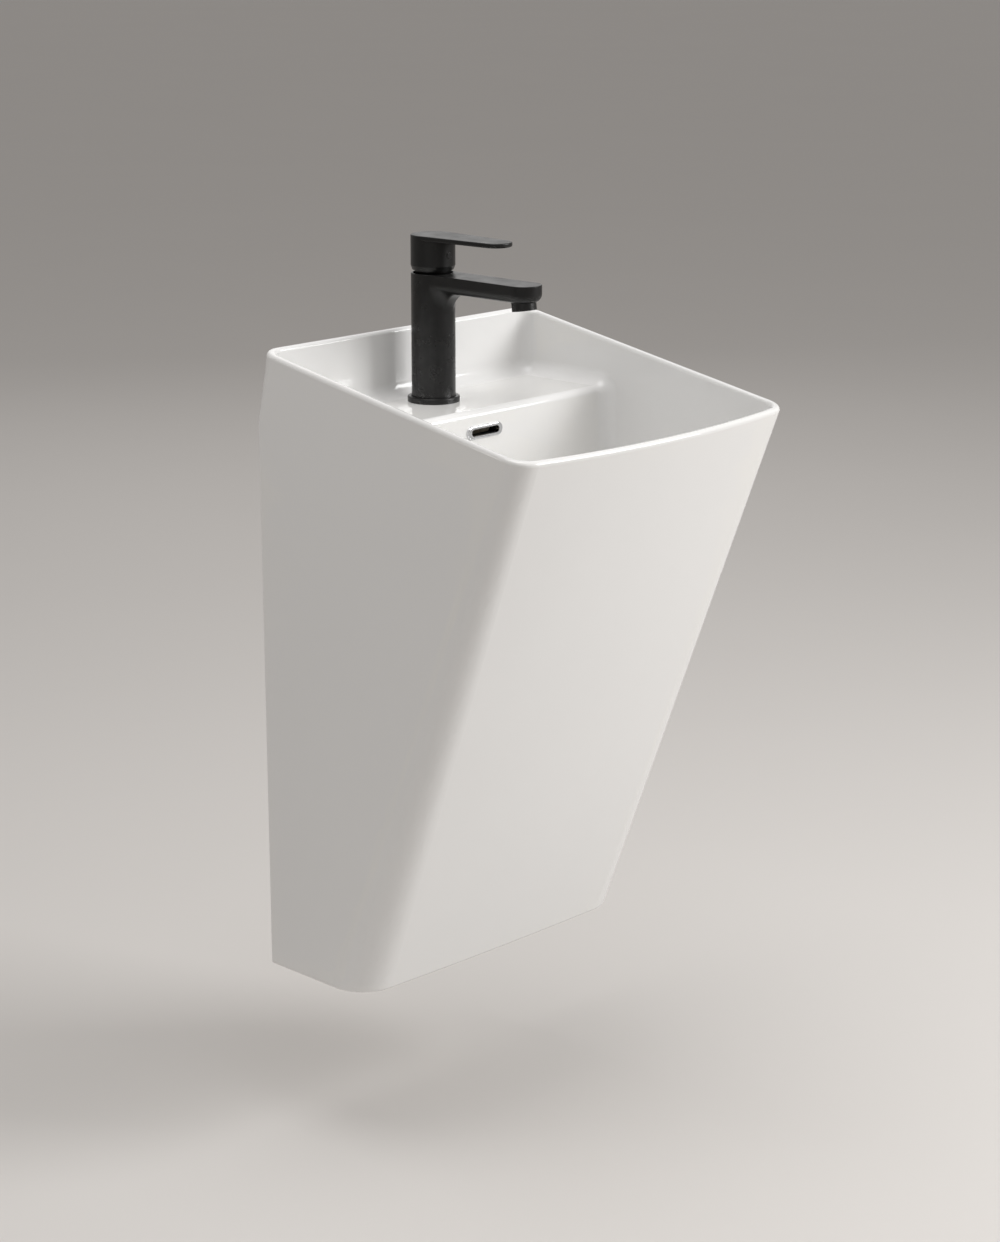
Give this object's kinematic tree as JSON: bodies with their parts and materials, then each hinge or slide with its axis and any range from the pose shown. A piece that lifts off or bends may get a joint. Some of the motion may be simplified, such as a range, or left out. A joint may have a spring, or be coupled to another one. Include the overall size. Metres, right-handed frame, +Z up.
{
  "type": "wall-hung pedestal washbasin with mixer tap",
  "caption": "Wall-hung one-piece ceramic washbasin with a slanted front, a recessed tap deck, a black single-lever mixer, click waste, bottle trap and angle valves.",
  "frame": {"origin": "on the wall plane, midway between the two wall-bolt holes", "axes": "+X along the wall to the right seen from the front, +Y into the wall, +Z up"},
  "size_m": [0.4132, 0.3835, 0.7768],
  "materials": {
    "glaze": "gloss",
    "black_coat": "satin",
    "chrome": "polished",
    "brass": "satin",
    "copper": "satin",
    "steel": "satin",
    "rubber": "matte",
    "grey_plastic": "satin",
    "white_nylon": "satin"
  },
  "bodies": {
    "basin": {"basin_body": "glaze", "overflow_ring": "chrome", "wall_fixing_bushes": "white_nylon", "waste_body": "chrome", "waste_flange_seal": "rubber", "waste_under_seal": "rubber", "waste_backnut": "brass", "plug_housing": "brass", "trap_inlet_washer": "rubber", "trap_inlet_nut": "chrome", "trap_tailpipe": "chrome", "trap_neck_nut": "chrome", "trap_neck_washer": "rubber", "trap_body": "chrome", "trap_cup_seal": "rubber", "trap_cup": "chrome", "trap_outlet_nut": "chrome", "trap_outlet_washer": "rubber", "outlet_pipe": "chrome", "tap_body": "black_coat", "tap_base_ring": "black_coat", "tap_base_seal": "rubber", "tap_collar": "black_coat", "cartridge_body": "grey_plastic", "cartridge_nut": "brass", "aerator_housing": "black_coat", "aerator_insert": "grey_plastic", "aerator_washer": "rubber", "tap_stud": "steel", "horseshoe_rubber": "rubber", "horseshoe_plate": "steel", "stud_nut": "brass", "valve_packing_nuts": "chrome", "hot_supply_tail": "copper", "cold_supply_tail": "copper", "hot_valve_body": "chrome", "cold_valve_body": "chrome", "hot_valve_olive": "brass", "cold_valve_olive": "brass", "hot_valve_nut": "chrome", "cold_valve_nut": "chrome"},
    "spindle": {"cartridge_spindle": "grey_plastic", "spindle_pin": "steel"},
    "handle": {"lever_stem": "steel", "lever_handle": "black_coat", "handle_grub_screw": "steel", "handle_index_plug": "black_coat"},
    "plug": {"plug_cap": "chrome", "plug_seal": "rubber", "plug_stem": "steel"},
    "hot_knob": {"hot_valve_spindle": "brass", "hot_valve_knob": "chrome"},
    "cold_knob": {"cold_valve_spindle": "brass", "cold_valve_knob": "chrome"}
  },
  "joints": [
    {"name": "temperature_turn", "type": "hinge", "parent": "basin", "child": "spindle", "pos_m": [0, -0.054, 0.212], "axis": [0, 0, 1], "range_deg": [-45, 45]},
    {"name": "lever_lift", "type": "hinge", "parent": "spindle", "child": "handle", "pos_m": [0, -0.054, 0.212], "axis": [-1, 0, 0], "range_deg": [0, 15]},
    {"name": "plug_lift", "type": "slide", "parent": "basin", "child": "plug", "axis": [0, 0, 1], "range_m": [0, 0.008]},
    {"name": "hot_knob_turn", "type": "hinge", "parent": "basin", "child": "hot_knob", "pos_m": [-0.075, -0.06, -0.19], "axis": [0, -1, 0], "range_deg": [0, 90]},
    {"name": "cold_knob_turn", "type": "hinge", "parent": "basin", "child": "cold_knob", "pos_m": [0.075, -0.06, -0.19], "axis": [0, -1, 0], "range_deg": [0, 90]}
  ]
}
